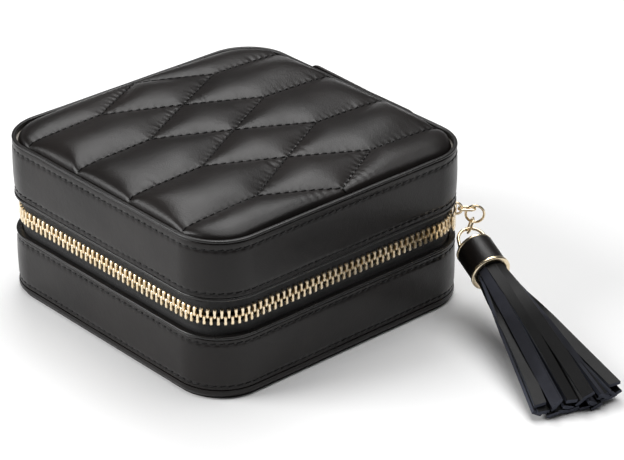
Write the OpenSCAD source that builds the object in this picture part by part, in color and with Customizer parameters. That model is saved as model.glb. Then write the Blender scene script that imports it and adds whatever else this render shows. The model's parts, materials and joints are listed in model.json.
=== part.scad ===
// Square zip-around jewellery case: a lid hinged on a leather panel at the back,
// a quilted top, a metal zip round the other three sides, and a tassel on the slider.
// Millimetres. +Z up, -Y front, +Y hinge side. The origin is the middle of the underside.

/* [Case size] */
// Width across the front, left to right
case_width = 108; // [80:1:160]
// Depth from front to hinge side
case_depth = 108; // [80:1:160]
// Radius of the four upright corners
corner_radius = 16; // [12:0.5:24]
// Height of the base up to its open edge
base_height = 21.3; // [15:0.1:40]
// Height of the lid from its open edge to the standing lip
lid_height = 20.1; // [15:0.1:40]
// Upright gap between the two edges, which the zip fills
zip_gap = 12.1; // [11:0.1:18]

/* [Walls and boards] */
// Thickness of the outer leather band
band_thickness = 1; // [0.8:0.1:2]
// Thickness of the stiff wall board under the leather
board_thickness = 1; // [0.6:0.1:3]
// Thickness of the floor board
floor_board_thickness = 2; // [1:0.1:4]
// Thickness of the board under the quilted pad
top_board_thickness = 2; // [1:0.1:4]
// Thickness of the leather under the base
bottom_leather_thickness = 1.2; // [0.8:0.1:3]
// Thickness of the suede lining
lining_thickness = 0.8; // [0.5:0.1:1.5]

/* [Edges] */
// Height of the painted binding on each open edge
binding_height = 0.9; // [0.5:0.1:2]
// How far a binding stands out from the band
binding_overhang = 0.2; // [0:0.05:0.5]
// Top of the welt round the foot of the base
welt_top = 3; // [2:0.1:5]
// Underside of the welt, just clear of the table
welt_bottom = 0.4; // [0.3:0.1:1]
// Width of the binding on the standing lip
lip_width = 1.3; // [1:0.1:2]
// Height of the binding on the standing lip
lip_binding_height = 0.8; // [0.5:0.1:1.5]

/* [Quilted pad] */
// Groove between the pad and the lip
pad_groove = 0.5; // [0.3:0.1:1.5]
// Height of the middle of the pad above its board
pad_crown = 6; // [4:0.1:9]
// How much lower the pad is at the middle of each side
pad_edge_drop = 3; // [1:0.1:4]

/* [Hinge panel] */
// Width of the leather panel that joins the lid to the base
hinge_panel_width = 50; // [30:1:70]
// Thickness of the hinge panel
hinge_panel_thickness = 1.2; // [0.8:0.1:2]
// Lower end of the panel on the base
hinge_panel_foot = 5; // [3.5:0.5:10]
// How far the panel stands above the lip
hinge_panel_rise = 0.5; // [0:0.1:1]
// Open slit in the panel at the hinge line, where it bends
hinge_slit = 2.4; // [2:0.1:4]

/* [Zip] */
// Thickness of the woven tape
tape_thickness = 0.7; // [0.4:0.1:1]
// How far the tape reaches down behind the wall
tape_tuck = 5; // [3:0.5:8]
// Spacing of the metal teeth
tooth_pitch = 2.3; // [2:0.05:3]
// Width of a tooth along the zip
tooth_width = 1.25; // [0.8:0.05:1.5]
// Thickness of a tooth through the tape
tooth_thickness = 2.6; // [2:0.1:3.2]
// Height of a tooth across the tape
tooth_height = 2.15; // [1.8:0.05:2.6]
// How far a tooth grips over the edge of the tape
tooth_grip = 1.2; // [0.8:0.1:1.6]
// Upright gap between the two rows, which the slider's post runs in
row_gap = 1.2; // [1:0.1:2]
// Distance from the hinge panel to the first tooth
zip_end_space = 2; // [1:0.5:6]
// Length of the metal stop at each end of a row
stop_length = 1.6; // [1:0.1:2]

/* [Slider] */
// Length of the slider along the zip
slider_length = 9; // [6:0.5:10]
// Height of the slider's plates
slider_height = 7.8; // [6.6:0.1:9]
// Thickness of a slider plate
plate_thickness = 0.9; // [0.6:0.1:1.2]
// Space between a plate and the teeth
plate_clearance = 0.4; // [0.3:0.05:0.6]
// Height of the post that joins the plates between the rows
post_height = 0.6; // [0.4:0.1:0.8]
// Width of the post along the zip
post_width = 3; // [2:0.1:4]
// Radius of the wire crown on the outer plate
crown_radius = 2; // [1.7:0.1:2.5]
// Height of the crown's middle above the middle of the zip
crown_rise = 3; // [2:0.1:3.2]
// Radius of the wire of the crown, link and rings
wire_radius = 0.4; // [0.3:0.05:0.45]

/* [Pull chain] */
// Half the width of the pull link, to the middle of its wire
link_half_width = 1.1; // [1.05:0.05:1.5]
// Space between the large ring and the crown
ring_gap = 0.4; // [0.3:0.05:1]
// Radius of the large ring, to the middle of its wire
large_ring_radius = 2.9; // [2.4:0.05:4]
// Radius of the small ring, to the middle of its wire
small_ring_radius = 2.5; // [2:0.05:3]
// Free space where one link passes through another
link_clearance = 0.3; // [0.2:0.05:0.5]
// Free space where the tassel's bail passes through the small ring
bail_clearance = 0.45; // [0.3:0.05:0.7]
// Place of the small ring on the large one, from its bottom towards the case
hang_angle = 20; // [0:1:30]
// Lean of the small ring towards the tassel, from hanging straight
small_ring_lean = 48; // [0:1:60]

/* [Tassel] */
// Radius of the bail's wire
bail_wire_radius = 0.55; // [0.4:0.05:0.7]
// Radius of the bail's arch, to the middle of its wire
bail_arch_radius = 4.3; // [3.5:0.1:5]
// Length of the bail from its top to the disc
bail_length = 7.8; // [6:0.1:10]
// Compass heading of the bail from +X
bail_heading = -33; // [-60:1:0]
// Slope of the bail below level
bail_slope = 25; // [10:1:40]
// Radius of the metal disc on top of the cap
top_disc_radius = 6; // [5:0.1:8]
// Thickness of the metal disc
top_disc_thickness = 1; // [0.6:0.1:2]
// Radius of the leather cap
cap_radius = 6.1; // [5:0.1:8]
// Length of the leather cap
cap_length = 10.2; // [8:0.1:16]
// Thickness of the cap's leather
cap_wall = 1.2; // [0.8:0.1:1.6]
// Radius of the metal collar
collar_radius = 6.5; // [5.5:0.1:8.5]
// Length of the metal collar
collar_length = 1.4; // [0.8:0.1:3]
// Length of the tassel from the disc to the strip ends
tassel_length = 72.5; // [50:0.5:90]
// Compass heading of the tassel from +X
tassel_heading = -17.8; // [-45:0.1:0]
// Half the width of the fanned strip ends
fan_half_width = 14; // [8:0.5:18]
// Half the height of the fanned strip ends
fan_half_height = 2.8; // [2:0.1:5]

/* [Inside] */
// Distance of the long divider from the middle, towards the hinge
divider_offset = 10; // [0:1:20]
// Thickness of the dividers
divider_thickness = 1.5; // [1:0.1:3]
// Top of the dividers above the lining floor
divider_height = 13; // [8:0.5:16]
// Gap on each side of a ring roll
roll_gap = 1.2; // [0.6:0.1:2]
// Straight part of a ring roll under its round top
roll_base_height = 4; // [2:0.5:6]
// Space between the lid's lining and the mirror's frame
mirror_border = 7.5; // [5:0.1:12]
// Thickness of the mirror glass
mirror_thickness = 0.8; // [0.6:0.1:2]
// Width of the leather frame round the mirror
mirror_frame_width = 6; // [3:0.5:8]
// How far the frame laps over the glass
mirror_lap = 1; // [0.5:0.1:2]

/* [Hidden] */
$fn = 64;

half_width = case_width / 2;
half_depth = case_depth / 2;
corner_x = half_width - corner_radius;
corner_y = half_depth - corner_radius;
lid_bottom = base_height + zip_gap;
lip_top = lid_bottom + lid_height;
zip_middle = base_height + zip_gap / 2;
over = 0.5;

board_inset = band_thickness;
tape_inset = board_inset + board_thickness;
lining_inset = tape_inset + tape_thickness;
room_inset = lining_inset + lining_thickness;
tooth_inset = tape_inset + tape_thickness / 2;

floor_board_top = bottom_leather_thickness + floor_board_thickness;
room_floor = floor_board_top + lining_thickness;
base_board_top = base_height - binding_height;
lid_board_bottom = lid_bottom + binding_height;
pad_base = lip_top - 2;
top_board_bottom = pad_base - top_board_thickness;
room_ceiling = top_board_bottom - lining_thickness;
lower_tape_top = zip_middle - row_gap / 2 - tooth_height + tooth_grip;
upper_tape_bottom = zip_middle + row_gap / 2 + tooth_height - tooth_grip;
tape_low = base_board_top - tape_tuck;
tape_high = lid_board_bottom + tape_tuck;

pad_inset = lip_width + pad_groove;
pad_half = half_width - pad_inset;
dome_radius = (pad_half * pad_half + pad_edge_drop * pad_edge_drop) / (2 * pad_edge_drop);

zip_end_x = hinge_panel_width / 2 + zip_end_space;
tooth_radius = corner_radius - tooth_inset;
back_run = corner_x - zip_end_x;
side_run = 2 * corner_y;
front_run = 2 * corner_x;
arc_run = PI / 2 * tooth_radius;

plate_offset = tooth_thickness / 2 + plate_clearance;
outer_plate_inner = tooth_radius + plate_offset;
outer_plate_outer = outer_plate_inner + plate_thickness;
inner_plate_outer = tooth_radius - plate_offset;
inner_plate_inner = inner_plate_outer - plate_thickness;
crown_z = zip_middle + crown_rise;
wire_sink = 0.2;
crown_reach = outer_plate_outer - wire_sink + crown_radius;
link_straight = large_ring_radius + 2 * wire_radius + ring_gap - link_half_width;
link_tip = crown_reach + link_straight + link_half_width;
large_ring_drop = large_ring_radius - 2 * wire_radius - link_clearance;
large_ring_z = crown_z - large_ring_drop;
small_ring_drop = small_ring_radius - 2 * wire_radius - link_clearance;
bail_drop = small_ring_radius - wire_radius - bail_wire_radius - bail_clearance;
bail_swing = small_ring_drop + bail_drop;
slider_angle = 45;

// Directions at the slider: outward from the corner, and along the zip towards the front.
outward = [cos(slider_angle), sin(slider_angle), 0];
along = [sin(slider_angle), -cos(slider_angle), 0];
upward = [0, 0, 1];
corner_middle = [corner_x, corner_y, 0];
hang_direction = -sin(hang_angle) * outward - cos(hang_angle) * upward;
hang_point = corner_middle + link_tip * outward + large_ring_z * upward
    + large_ring_radius * hang_direction;
lean_direction = sin(small_ring_lean) * along + cos(small_ring_lean) * hang_direction;
small_ring_middle = hang_point + small_ring_drop * lean_direction;
bail_top = hang_point + bail_swing * lean_direction;
bail_direction = [cos(bail_slope) * cos(bail_heading), cos(bail_slope) * sin(bail_heading),
    -sin(bail_slope)];
disc_middle = bail_top + bail_length * bail_direction;
tip_height = fan_half_height + 0.2;
tassel_slope = asin((disc_middle[2] - tip_height) / tassel_length);
bail_turn = bail_heading - tassel_heading;

roll_count = 4;
room_half_depth = half_depth - room_inset;
glass_margin = mirror_border + mirror_frame_width - mirror_lap;
roll_area = room_half_depth + divider_offset;
roll_width = (roll_area - (roll_count + 1) * roll_gap) / roll_count;

cover_inset = 0.9;
fan_end_thickness = 0.6;
core_radius = cap_radius - cap_wall;
neck_start = top_disc_thickness + cap_length + collar_length;

leather_black = [0.09, 0.09, 0.1];
edge_black = [0.2, 0.2, 0.21];
thread_black = [0.13, 0.13, 0.14];
board_grey = [0.5, 0.47, 0.42];
suede_grey = [0.33, 0.31, 0.32];
gold = [0.86, 0.72, 0.47];
glass = [0.75, 0.8, 0.83];

// A rounded square plate, drawn at an inset from the outer face of the band.
module slab(inset, bottom, top) {
    radius = corner_radius - inset;
    height = top - bottom;
    translate([0, 0, bottom]) {
        translate([-(half_width - inset), -corner_y, 0])
            cube([2 * (half_width - inset), 2 * corner_y, height]);
        translate([-corner_x, -(half_depth - inset), 0])
            cube([2 * corner_x, 2 * (half_depth - inset), height]);
        for (side_x = [-1, 1])
            for (side_y = [-1, 1])
                translate([side_x * corner_x, side_y * corner_y, 0])
                    cylinder(r = radius, h = height);
    }
}

// A wall that follows the outline between two insets.
module wall(outer_inset, inner_inset, bottom, top) {
    difference() {
        slab(outer_inset, bottom, top);
        slab(inner_inset, bottom - over, top + over);
    }
}

// The space on the hinge side that the zip tapes leave free.
module tape_end_space(bottom, top) {
    translate([-zip_end_x + stop_length, half_depth - room_inset - over, bottom - over])
        cube([2 * (zip_end_x - stop_length), room_inset + over, top - bottom + 2 * over]);
}

module base_bottom_cover() {
    color(leather_black)
        slab(cover_inset, 0, bottom_leather_thickness);
}

module base_foot_welt() {
    color(edge_black)
        difference() {
            slab(-binding_overhang, welt_bottom, welt_top);
            slab(cover_inset, welt_bottom - over, bottom_leather_thickness);
            slab(board_inset, bottom_leather_thickness - over, welt_top + over);
        }
}

module base_floor_board() {
    color(board_grey)
        slab(board_inset, bottom_leather_thickness, floor_board_top);
}

module base_wall_board() {
    color(board_grey)
        wall(board_inset, tape_inset, floor_board_top, base_board_top);
}

module base_leather_band() {
    color(leather_black)
        wall(0, board_inset, welt_top, base_board_top);
}

module base_edge_binding() {
    color(edge_black)
        wall(-binding_overhang, tape_inset, base_board_top, base_height);
}

module base_lining_wall() {
    color(suede_grey)
        difference() {
            wall(tape_inset, room_inset, room_floor, base_board_top);
            wall(tape_inset - over, lining_inset, tape_low, base_board_top + over);
        }
}

module base_lining_floor() {
    color(suede_grey)
        slab(tape_inset, floor_board_top, room_floor);
}

module long_divider() {
    color(suede_grey)
        translate([-(half_width - room_inset), divider_offset, room_floor])
            cube([2 * (half_width - room_inset), divider_thickness, divider_height]);
}

module cross_divider() {
    color(suede_grey)
        translate([-divider_thickness / 2, divider_offset + divider_thickness, room_floor])
            cube([divider_thickness, room_half_depth - divider_offset - divider_thickness,
                divider_height]);
}

// One ring roll: a straight foot with a round top, cut to the lining's outline.
module ring_roll(place) {
    roll_middle = -room_half_depth + roll_gap + roll_width / 2
        + place * (roll_width + roll_gap);
    color(suede_grey)
        intersection() {
            union() {
                translate([-half_width, roll_middle - roll_width / 2, room_floor])
                    cube([case_width, roll_width, roll_base_height]);
                translate([-half_width, roll_middle, room_floor + roll_base_height])
                    rotate([0, 90, 0])
                        cylinder(r = roll_width / 2, h = case_width);
            }
            slab(room_inset + roll_gap / 2, room_floor, base_board_top);
        }
}

module ring_roll_a() {
    ring_roll(0);
}

module ring_roll_b() {
    ring_roll(1);
}

module ring_roll_c() {
    ring_roll(2);
}

module ring_roll_d() {
    ring_roll(3);
}

module zip_tape(bottom, top) {
    color(thread_black)
        difference() {
            wall(tape_inset, lining_inset, bottom, top);
            tape_end_space(bottom, top);
        }
}

module lower_zip_tape() {
    zip_tape(tape_low, lower_tape_top);
}

module upper_zip_tape() {
    zip_tape(upper_tape_bottom, tape_high);
}

// One tooth, standing up from its outer end, slotted over the tape.
module tooth(length) {
    difference() {
        translate([-length / 2, -tooth_thickness / 2, 0])
            cube([length, tooth_thickness, tooth_height]);
        translate([-length, -tape_thickness / 2, -over])
            cube([2 * length, tape_thickness, tooth_grip + over]);
    }
}

module tooth_run(start, heading, run_length, phase) {
    count = round(run_length / tooth_pitch);
    step = run_length / count;
    translate(start)
        rotate([0, 0, heading])
            for (place = [0 : count - 1])
                translate([(place + phase) * step, 0, 0])
                    tooth(tooth_width);
}

module tooth_arc(middle, first_angle, phase) {
    count = round(arc_run / tooth_pitch);
    step = 90 / count;
    translate(middle)
        for (place = [0 : count - 1])
            rotate([0, 0, first_angle + (place + phase) * step])
                translate([0, -tooth_radius, 0])
                    tooth(tooth_width);
}

// A whole row, from the left end at the back, round the front, to the right end.
module tooth_row(phase) {
    inner_x = half_width - tooth_inset;
    inner_y = half_depth - tooth_inset;
    tooth_run([-zip_end_x, inner_y, 0], 180, back_run, phase);
    tooth_arc([-corner_x, corner_y, 0], 180, phase);
    tooth_run([-inner_x, corner_y, 0], -90, side_run, phase);
    tooth_arc([-corner_x, -corner_y, 0], -90, phase);
    tooth_run([-corner_x, -inner_y, 0], 0, front_run, phase);
    tooth_arc([corner_x, -corner_y, 0], 0, phase);
    tooth_run([inner_x, -corner_y, 0], 90, side_run, phase);
    tooth_arc([corner_x, corner_y, 0], 90, phase);
    tooth_run([corner_x, inner_y, 0], 180, back_run, phase);
}

module row_stops() {
    for (side = [-1, 1])
        translate([side * (zip_end_x - stop_length / 2 - over / 2), half_depth - tooth_inset, 0])
            tooth(stop_length - over);
}

module lower_zip_teeth() {
    color(gold)
        translate([0, 0, zip_middle - row_gap / 2 - tooth_height])
            tooth_row(0.25);
}

module upper_zip_teeth() {
    color(gold)
        translate([0, 0, zip_middle + row_gap / 2 + tooth_height])
            mirror([0, 0, 1])
                tooth_row(0.75);
}

module lower_zip_stops() {
    color(gold)
        translate([0, 0, zip_middle - row_gap / 2 - tooth_height])
            row_stops();
}

module upper_zip_stops() {
    color(gold)
        translate([0, 0, zip_middle + row_gap / 2 + tooth_height])
            mirror([0, 0, 1])
                row_stops();
}

module hinge_panel_lower() {
    bottom = hinge_panel_foot;
    top = zip_middle - hinge_slit / 2;
    start_y = half_depth + binding_overhang;
    color(leather_black)
        translate([-hinge_panel_width / 2, start_y, bottom])
            cube([hinge_panel_width, hinge_panel_thickness, top - bottom]);
}

module hinge_panel_upper() {
    bottom = zip_middle + hinge_slit / 2;
    top = lip_top + hinge_panel_rise;
    start_y = half_depth + binding_overhang;
    color(leather_black)
        translate([-hinge_panel_width / 2, start_y, bottom])
            cube([hinge_panel_width, hinge_panel_thickness, top - bottom]);
}

module lid_wall_board() {
    color(board_grey)
        wall(board_inset, tape_inset, lid_board_bottom, top_board_bottom);
}

module lid_top_board() {
    color(board_grey)
        slab(board_inset, top_board_bottom, pad_base);
}

module lid_leather_band() {
    color(leather_black)
        wall(0, board_inset, lid_board_bottom, lip_top - lip_binding_height);
}

module lid_lip_binding() {
    color(edge_black)
        wall(-binding_overhang / 2, lip_width, lip_top - lip_binding_height, lip_top);
}

module lid_edge_binding() {
    color(edge_black)
        wall(-binding_overhang, tape_inset, lid_bottom, lid_board_bottom);
}

module lid_quilted_pad() {
    color(leather_black)
        intersection() {
            slab(pad_inset, pad_base, pad_base + pad_crown + over);
            translate([0, 0, pad_base + pad_crown - dome_radius])
                sphere(r = dome_radius, $fn = 360);
        }
}

module lid_lining_wall() {
    color(suede_grey)
        difference() {
            wall(tape_inset, room_inset, lid_board_bottom, room_ceiling);
            wall(tape_inset - over, lining_inset, lid_board_bottom - over, tape_high);
        }
}

module lid_lining_top() {
    color(suede_grey)
        slab(tape_inset, room_ceiling, top_board_bottom);
}

module mirror_plate(margin, bottom, top) {
    plate_x = half_width - room_inset - margin;
    plate_y = half_depth - room_inset - margin;
    translate([-plate_x, -plate_y, bottom])
        cube([2 * plate_x, 2 * plate_y, top - bottom]);
}

module mirror_glass() {
    color(glass)
        mirror_plate(glass_margin, room_ceiling - mirror_thickness, room_ceiling);
}

module mirror_frame() {
    frame_bottom = room_ceiling - mirror_thickness - lining_thickness;
    color(leather_black)
        difference() {
            mirror_plate(mirror_border, frame_bottom, room_ceiling);
            mirror_plate(glass_margin, room_ceiling - mirror_thickness, room_ceiling + over);
            mirror_plate(glass_margin + mirror_lap, frame_bottom - over, room_ceiling);
        }
}

// Everything on the slider is drawn facing +X from the corner's centre, then turned to it.
module at_corner() {
    translate(corner_middle)
        rotate([0, 0, slider_angle])
            children();
}

module slider_plate(inner_radius, outer_radius) {
    intersection() {
        difference() {
            cylinder(r = outer_radius, h = slider_height);
            translate([0, 0, -over])
                cylinder(r = inner_radius, h = slider_height + 2 * over);
        }
        translate([0, -slider_length / 2, 0])
            cube([corner_radius, slider_length, slider_height]);
    }
}

module zip_slider() {
    color(gold)
        at_corner() {
            translate([0, 0, zip_middle - slider_height / 2]) {
                slider_plate(inner_plate_inner, inner_plate_outer);
                slider_plate(outer_plate_inner, outer_plate_outer);
            }
            translate([inner_plate_outer - wire_sink, -post_width / 2, zip_middle - post_height / 2])
                cube([2 * plate_offset + 2 * wire_sink, post_width, post_height]);
            translate([outer_plate_inner + wire_sink, -3 * wire_radius, crown_z - crown_radius
                - wire_radius])
                cube([plate_thickness - wire_sink, 6 * wire_radius,
                    2 * crown_radius + 2 * wire_radius]);
            translate([outer_plate_outer - wire_sink, 0, crown_z])
                rotate([90, 0, 0])
                    rotate([0, 0, -90])
                        rotate_extrude(angle = 180)
                            translate([crown_radius, 0])
                                circle(r = wire_radius, $fn = 24);
            translate([outer_plate_outer - wire_sink, 0, crown_z - crown_radius])
                sphere(r = wire_radius, $fn = 24);
            translate([outer_plate_outer - wire_sink, 0, crown_z + crown_radius])
                sphere(r = wire_radius, $fn = 24);
        }
}

// An oval link of round wire, lying level: two half rings and two straight sides.
module pull_link() {
    color(gold)
        at_corner()
            translate([crown_reach, 0, crown_z]) {
                rotate([0, 0, 90])
                    rotate_extrude(angle = 180)
                        translate([link_half_width, 0])
                            circle(r = wire_radius, $fn = 24);
                translate([link_straight, 0, 0])
                    rotate([0, 0, -90])
                        rotate_extrude(angle = 180)
                            translate([link_half_width, 0])
                                circle(r = wire_radius, $fn = 24);
                for (side = [-1, 1])
                    translate([0, side * link_half_width, 0])
                        rotate([0, 90, 0])
                            cylinder(r = wire_radius, h = link_straight, $fn = 24);
            }
}

module wire_ring(radius, wire) {
    rotate_extrude()
        translate([radius, 0])
            circle(r = wire, $fn = 24);
}

module large_ring() {
    color(gold)
        at_corner()
            translate([link_tip, 0, large_ring_z])
                rotate([90, 0, 0])
                    wire_ring(large_ring_radius, wire_radius);
}

module small_ring() {
    color(gold)
        translate(small_ring_middle)
            rotate([0, 0, slider_angle])
                rotate([0, 90 + hang_angle, 0])
                    wire_ring(small_ring_radius, wire_radius);
}

// The tassel's own frame: +Z runs down the tassel from the disc, +X is level.
module at_disc() {
    translate(disc_middle)
        rotate([0, 0, tassel_heading])
            rotate([0, 90 + tassel_slope, 0])
                rotate([0, 0, 90])
                    children();
}

module at_bail_top() {
    translate(bail_top)
        rotate([0, 0, bail_heading])
            rotate([0, 90 + bail_slope, 0])
                rotate([0, 0, 90])
                    children();
}

module tassel_bail() {
    leg = bail_length - bail_arch_radius;
    color(gold)
        difference() {
            at_bail_top() {
                translate([0, 0, bail_arch_radius])
                    rotate([90, 0, 0])
                        rotate([0, 0, 180])
                            rotate_extrude(angle = 180)
                                translate([bail_arch_radius, 0])
                                    circle(r = bail_wire_radius, $fn = 24);
                for (side = [-1, 1])
                    translate([side * bail_arch_radius, 0, bail_arch_radius])
                        cylinder(r = bail_wire_radius, h = leg + cap_radius, $fn = 24);
            }
            at_disc()
                cylinder(r = 4 * cap_radius, h = cap_length);
        }
}

module tassel_top_disc() {
    color(gold)
        at_disc()
            cylinder(r = top_disc_radius, h = top_disc_thickness);
}

module tassel_cap() {
    color(leather_black)
        at_disc()
            translate([0, 0, top_disc_thickness])
                difference() {
                    cylinder(r = cap_radius, h = cap_length);
                    translate([0, 0, -over])
                        cylinder(r = core_radius, h = cap_length + 2 * over);
                }
}

module tassel_collar() {
    color(gold)
        at_disc()
            translate([0, 0, top_disc_thickness + cap_length])
                difference() {
                    cylinder(r = collar_radius, h = collar_length);
                    translate([0, 0, -over])
                        cylinder(r = core_radius, h = collar_length + 2 * over);
                }
}

module tassel_core() {
    color(leather_black)
        at_disc()
            translate([0, 0, top_disc_thickness])
                cylinder(r = core_radius, h = neck_start - top_disc_thickness);
}

// The fanned strips as one plain body, from the collar down to the table.
module tassel_strips() {
    color(leather_black)
        at_disc()
            hull() {
                translate([0, 0, neck_start])
                    cylinder(r = core_radius, h = fan_end_thickness);
                translate([0, 0, tassel_length - fan_end_thickness])
                    scale([fan_half_width / fan_half_height, 1, 1])
                        cylinder(r = fan_half_height, h = fan_end_thickness);
            }
}

base_bottom_cover();
base_foot_welt();
base_floor_board();
base_wall_board();
base_leather_band();
base_edge_binding();
base_lining_wall();
base_lining_floor();
long_divider();
cross_divider();
ring_roll_a();
ring_roll_b();
ring_roll_c();
ring_roll_d();
lower_zip_tape();
lower_zip_teeth();
lower_zip_stops();
hinge_panel_lower();
lid_wall_board();
lid_top_board();
lid_leather_band();
lid_lip_binding();
lid_edge_binding();
lid_quilted_pad();
lid_lining_wall();
lid_lining_top();
mirror_glass();
mirror_frame();
upper_zip_tape();
upper_zip_teeth();
upper_zip_stops();
hinge_panel_upper();
zip_slider();
pull_link();
large_ring();
small_ring();
tassel_bail();
tassel_top_disc();
tassel_cap();
tassel_collar();
tassel_core();
tassel_strips();
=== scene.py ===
import bpy
import math
import json
import numpy as np
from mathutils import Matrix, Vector


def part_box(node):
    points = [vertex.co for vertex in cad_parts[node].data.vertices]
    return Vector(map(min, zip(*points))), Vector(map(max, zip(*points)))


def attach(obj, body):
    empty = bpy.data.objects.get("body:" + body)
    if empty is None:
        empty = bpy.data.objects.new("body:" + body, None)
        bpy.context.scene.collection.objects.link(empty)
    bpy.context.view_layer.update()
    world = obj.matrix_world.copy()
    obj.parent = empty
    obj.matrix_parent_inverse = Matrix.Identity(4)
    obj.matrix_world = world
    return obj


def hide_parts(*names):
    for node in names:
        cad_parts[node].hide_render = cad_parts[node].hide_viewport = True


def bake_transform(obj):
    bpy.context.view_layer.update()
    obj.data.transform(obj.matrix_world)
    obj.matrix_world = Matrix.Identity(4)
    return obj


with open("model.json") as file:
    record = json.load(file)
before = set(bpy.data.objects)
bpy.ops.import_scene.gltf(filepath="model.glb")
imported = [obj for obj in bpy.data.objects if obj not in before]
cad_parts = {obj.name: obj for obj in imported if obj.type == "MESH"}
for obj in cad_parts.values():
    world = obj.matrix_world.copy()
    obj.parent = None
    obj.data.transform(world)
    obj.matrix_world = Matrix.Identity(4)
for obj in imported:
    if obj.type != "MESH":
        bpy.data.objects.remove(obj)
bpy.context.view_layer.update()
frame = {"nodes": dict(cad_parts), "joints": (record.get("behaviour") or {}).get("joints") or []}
mm = 0.001
rng = np.random.default_rng(7)


def addToScene(name, data):
    thing = bpy.data.objects.new(name, data)
    bpy.context.scene.collection.objects.link(thing)
    return thing


def boxMm(node):
    low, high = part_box(node)
    return np.array(low) / mm, np.array(high) / mm


bandLow, bandHigh = boxMm("base_leather_band")
lidLow, lidHigh = boxMm("lid_leather_band")
caseShape = {"halfWidth": bandHigh[0], "halfDepth": bandHigh[1], "cornerRadius": 16.0}


def insetOf(node):
    # how far a node's outermost face lies inside the band's outer face
    return bandHigh[0] - boxMm(node)[1][0]


boardInset = insetOf("base_wall_board")
tapeInset = insetOf("lower_zip_tape")
toothFace = insetOf("lower_zip_teeth")


# camera, light and floor

shot = {"place": (0.5754, -0.4810, 0.4164), "turn": 48.243, "tilt": 27.84, "lens": 153.7,
        "sensor": 36, "near": 0.05, "far": 50}


def makeCamera():
    a, e = math.radians(shot["turn"]), math.radians(shot["tilt"])
    back = Vector((math.sin(a) * math.cos(e), -math.cos(a) * math.cos(e), math.sin(e)))
    lens = bpy.data.cameras.new("camera")
    lens.lens = shot["lens"]
    lens.sensor_width = shot["sensor"]
    lens.clip_start, lens.clip_end = shot["near"], shot["far"]
    camera = addToScene("camera", lens)
    camera.location = shot["place"]
    camera.rotation_euler = (-back).to_track_quat("-Z", "Y").to_euler()
    bpy.context.scene.camera = camera


studio = {
    "sky": 0.1,
    "lamps": [
        # name, place, aim, size, power
        ("keyLamp", (-0.55, -0.8, 0.62), (-0.08, -0.08, 0.0), 0.7, 10.5),
        ("backLamp", (-0.5, 0.46, 0.9), (0, 0, 0.05), 0.55, 3.4),
        ("overheadLamp", (0.08, 0.3, 1.35), (0.1, 0.1, 0), 1.4, 15.0),
    ],
    "floorTone": 0.93, "floorRough": 0.9, "floorGloss": 0.1, "floorReach": 4.0,
}


def setInputs(node, values):
    for key, value in values.items():
        node.inputs[key].default_value = value


def startMaterial(name, values):
    material = bpy.data.materials.new(name)
    material.use_nodes = True
    shader = material.node_tree.nodes["Principled BSDF"]
    setInputs(shader, values)
    return material, material.node_tree, shader


def makeStudio():
    world = bpy.data.worlds.new("studio")
    world.use_nodes = True
    setInputs(world.node_tree.nodes["Background"], {"Color": (1, 1, 1, 1), "Strength": studio["sky"]})
    bpy.context.scene.world = world
    bpy.context.scene.view_settings.view_transform = "Standard"
    for name, place, aim, size, power in studio["lamps"]:
        lamp = bpy.data.lights.new(name, "AREA")
        lamp.shape = "DISK"
        lamp.size = size
        lamp.energy = power
        holder = addToScene(name, lamp)
        holder.location = place
        holder.rotation_euler = (Vector(aim) - Vector(place)).to_track_quat("-Z", "Y").to_euler()
    reach = studio["floorReach"]
    mesh = bpy.data.meshes.new("floor")
    mesh.from_pydata([(-reach, -reach, 0), (reach, -reach, 0), (reach, reach, 0), (-reach, reach, 0)],
                     [], [(0, 1, 2, 3)])
    floor = addToScene("floor", mesh)
    tone = studio["floorTone"]
    mesh.materials.append(startMaterial("floorCard", {
        "Base Color": (tone, tone, tone, 1), "Roughness": studio["floorRough"],
        "Specular IOR Level": studio["floorGloss"]})[0])


makeCamera()
makeStudio()
print("studio ready")


# materials

finishes = {
    "leather": {"dark": (0.0055, 0.0042, 0.0038), "light": (0.0110, 0.0086, 0.0078), "rough": 0.34,
                "grain": 2300, "depth": 0.00005, "gloss": 0.3},
    "stripLeather": {"dark": (0.0018, 0.0017, 0.0018), "light": (0.0042, 0.004, 0.0042), "rough": 0.42,
                     "grain": 2600, "depth": 0.00005, "gloss": 0.16},
    "cutEdge": {"dark": (0.022, 0.024, 0.034), "light": (0.05, 0.055, 0.076), "rough": 0.8,
                "grain": 3500, "depth": 0.00006, "gloss": 0.3},
    "fleshSide": {"dark": (0.012, 0.0125, 0.017), "light": (0.046, 0.048, 0.062), "rough": 0.8,
                  "grain": 3300, "depth": 0.0001, "gloss": 0.2},
    "edgePaint": {"dark": (0.008, 0.0073, 0.007), "light": (0.014, 0.0128, 0.0125), "rough": 0.28,
                  "grain": 700, "depth": 0.00003, "gloss": 0.45},
    "thread": {"dark": (0.0012, 0.0011, 0.0011), "light": (0.005, 0.0046, 0.0046), "rough": 0.42,
               "fuzz": 5200, "twist": 900.0, "bend": 1.5, "depth": 0.00005, "gloss": 0.22},
    "tape": {"dark": (0.0065, 0.0065, 0.007), "light": (0.018, 0.0175, 0.018), "rough": 0.82, "sheen": 0.12,
             "fuzz": 4200, "fuzzDepth": 0.00003, "fold": 0.11, "twill": 9.0, "twillDepth": 0.00009},
    "suede": {"rough": 0.95, "sheen": 0.45, "sheenRough": 0.5, "nap": 95, "fibres": 5200, "depth": 0.00008},
    "gold": {"dark": (0.82, 0.66, 0.43), "light": (0.94, 0.82, 0.62), "drift": 260, "gloss": 900,
             "rubs": 1500.0, "stretch": (1, 1, 7), "depth": 0.000008},
    "board": {"dark": (0.30, 0.28, 0.24), "light": (0.46, 0.43, 0.38), "rough": 0.92, "pulp": 900,
              "depth": 0.00006},
    "mirror": {"tone": (0.9, 0.91, 0.92, 1), "dust": 70, "clean": 0.015, "dusty": 0.05},
}


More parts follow.
